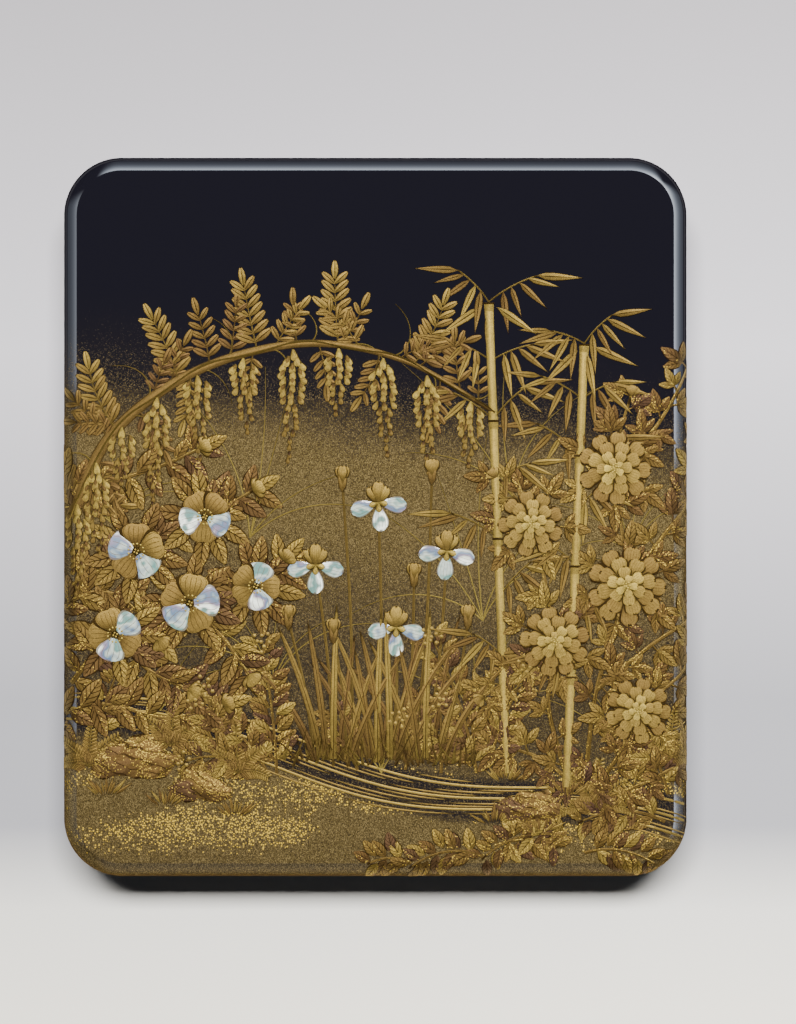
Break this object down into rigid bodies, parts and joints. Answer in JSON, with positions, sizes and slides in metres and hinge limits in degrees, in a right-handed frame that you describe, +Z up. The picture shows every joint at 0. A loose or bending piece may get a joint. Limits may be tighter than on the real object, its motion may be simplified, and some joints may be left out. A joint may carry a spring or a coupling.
{
  "type": "writing box",
  "caption": "Flat rounded writing box with a hollow lift-off lid over a tray, black lacquer with a raised garden picture and mother-of-pearl petals",
  "frame": {"origin": "centre of the underside of the tray", "axes": "+Z up through the lid, +Y along the box towards the top of the lid's picture, +X to the picture's right"},
  "size_m": [0.215, 0.248, 0.0492],
  "materials": {
    "lid_lacquer": "wood core under polished black lacquer, with a raised picture in gold powder",
    "tray_lacquer": "wood core under polished black lacquer",
    "mother_of_pearl": "polished mother-of-pearl, iridescent"
  },
  "bodies": {
    "root": {"lid": "lid_lacquer", "tray": "tray_lacquer", "camellia_1_shell_petal_2": "mother_of_pearl", "camellia_1_shell_petal_4": "mother_of_pearl", "camellia_2_shell_petal_2": "mother_of_pearl", "camellia_2_shell_petal_4": "mother_of_pearl", "camellia_3_shell_petal_2": "mother_of_pearl", "camellia_3_shell_petal_4": "mother_of_pearl", "camellia_4_shell_petal_2": "mother_of_pearl", "camellia_4_shell_petal_4": "mother_of_pearl", "camellia_5_shell_petal_2": "mother_of_pearl", "camellia_5_shell_petal_4": "mother_of_pearl", "iris_1_shell_petal_1": "mother_of_pearl", "iris_1_shell_petal_2": "mother_of_pearl", "iris_1_shell_petal_3": "mother_of_pearl", "iris_2_shell_petal_1": "mother_of_pearl", "iris_2_shell_petal_2": "mother_of_pearl", "iris_2_shell_petal_3": "mother_of_pearl", "iris_3_shell_petal_1": "mother_of_pearl", "iris_3_shell_petal_2": "mother_of_pearl", "iris_3_shell_petal_3": "mother_of_pearl", "iris_4_shell_petal_1": "mother_of_pearl", "iris_4_shell_petal_2": "mother_of_pearl", "iris_4_shell_petal_3": "mother_of_pearl"}
  },
  "joints": []
}
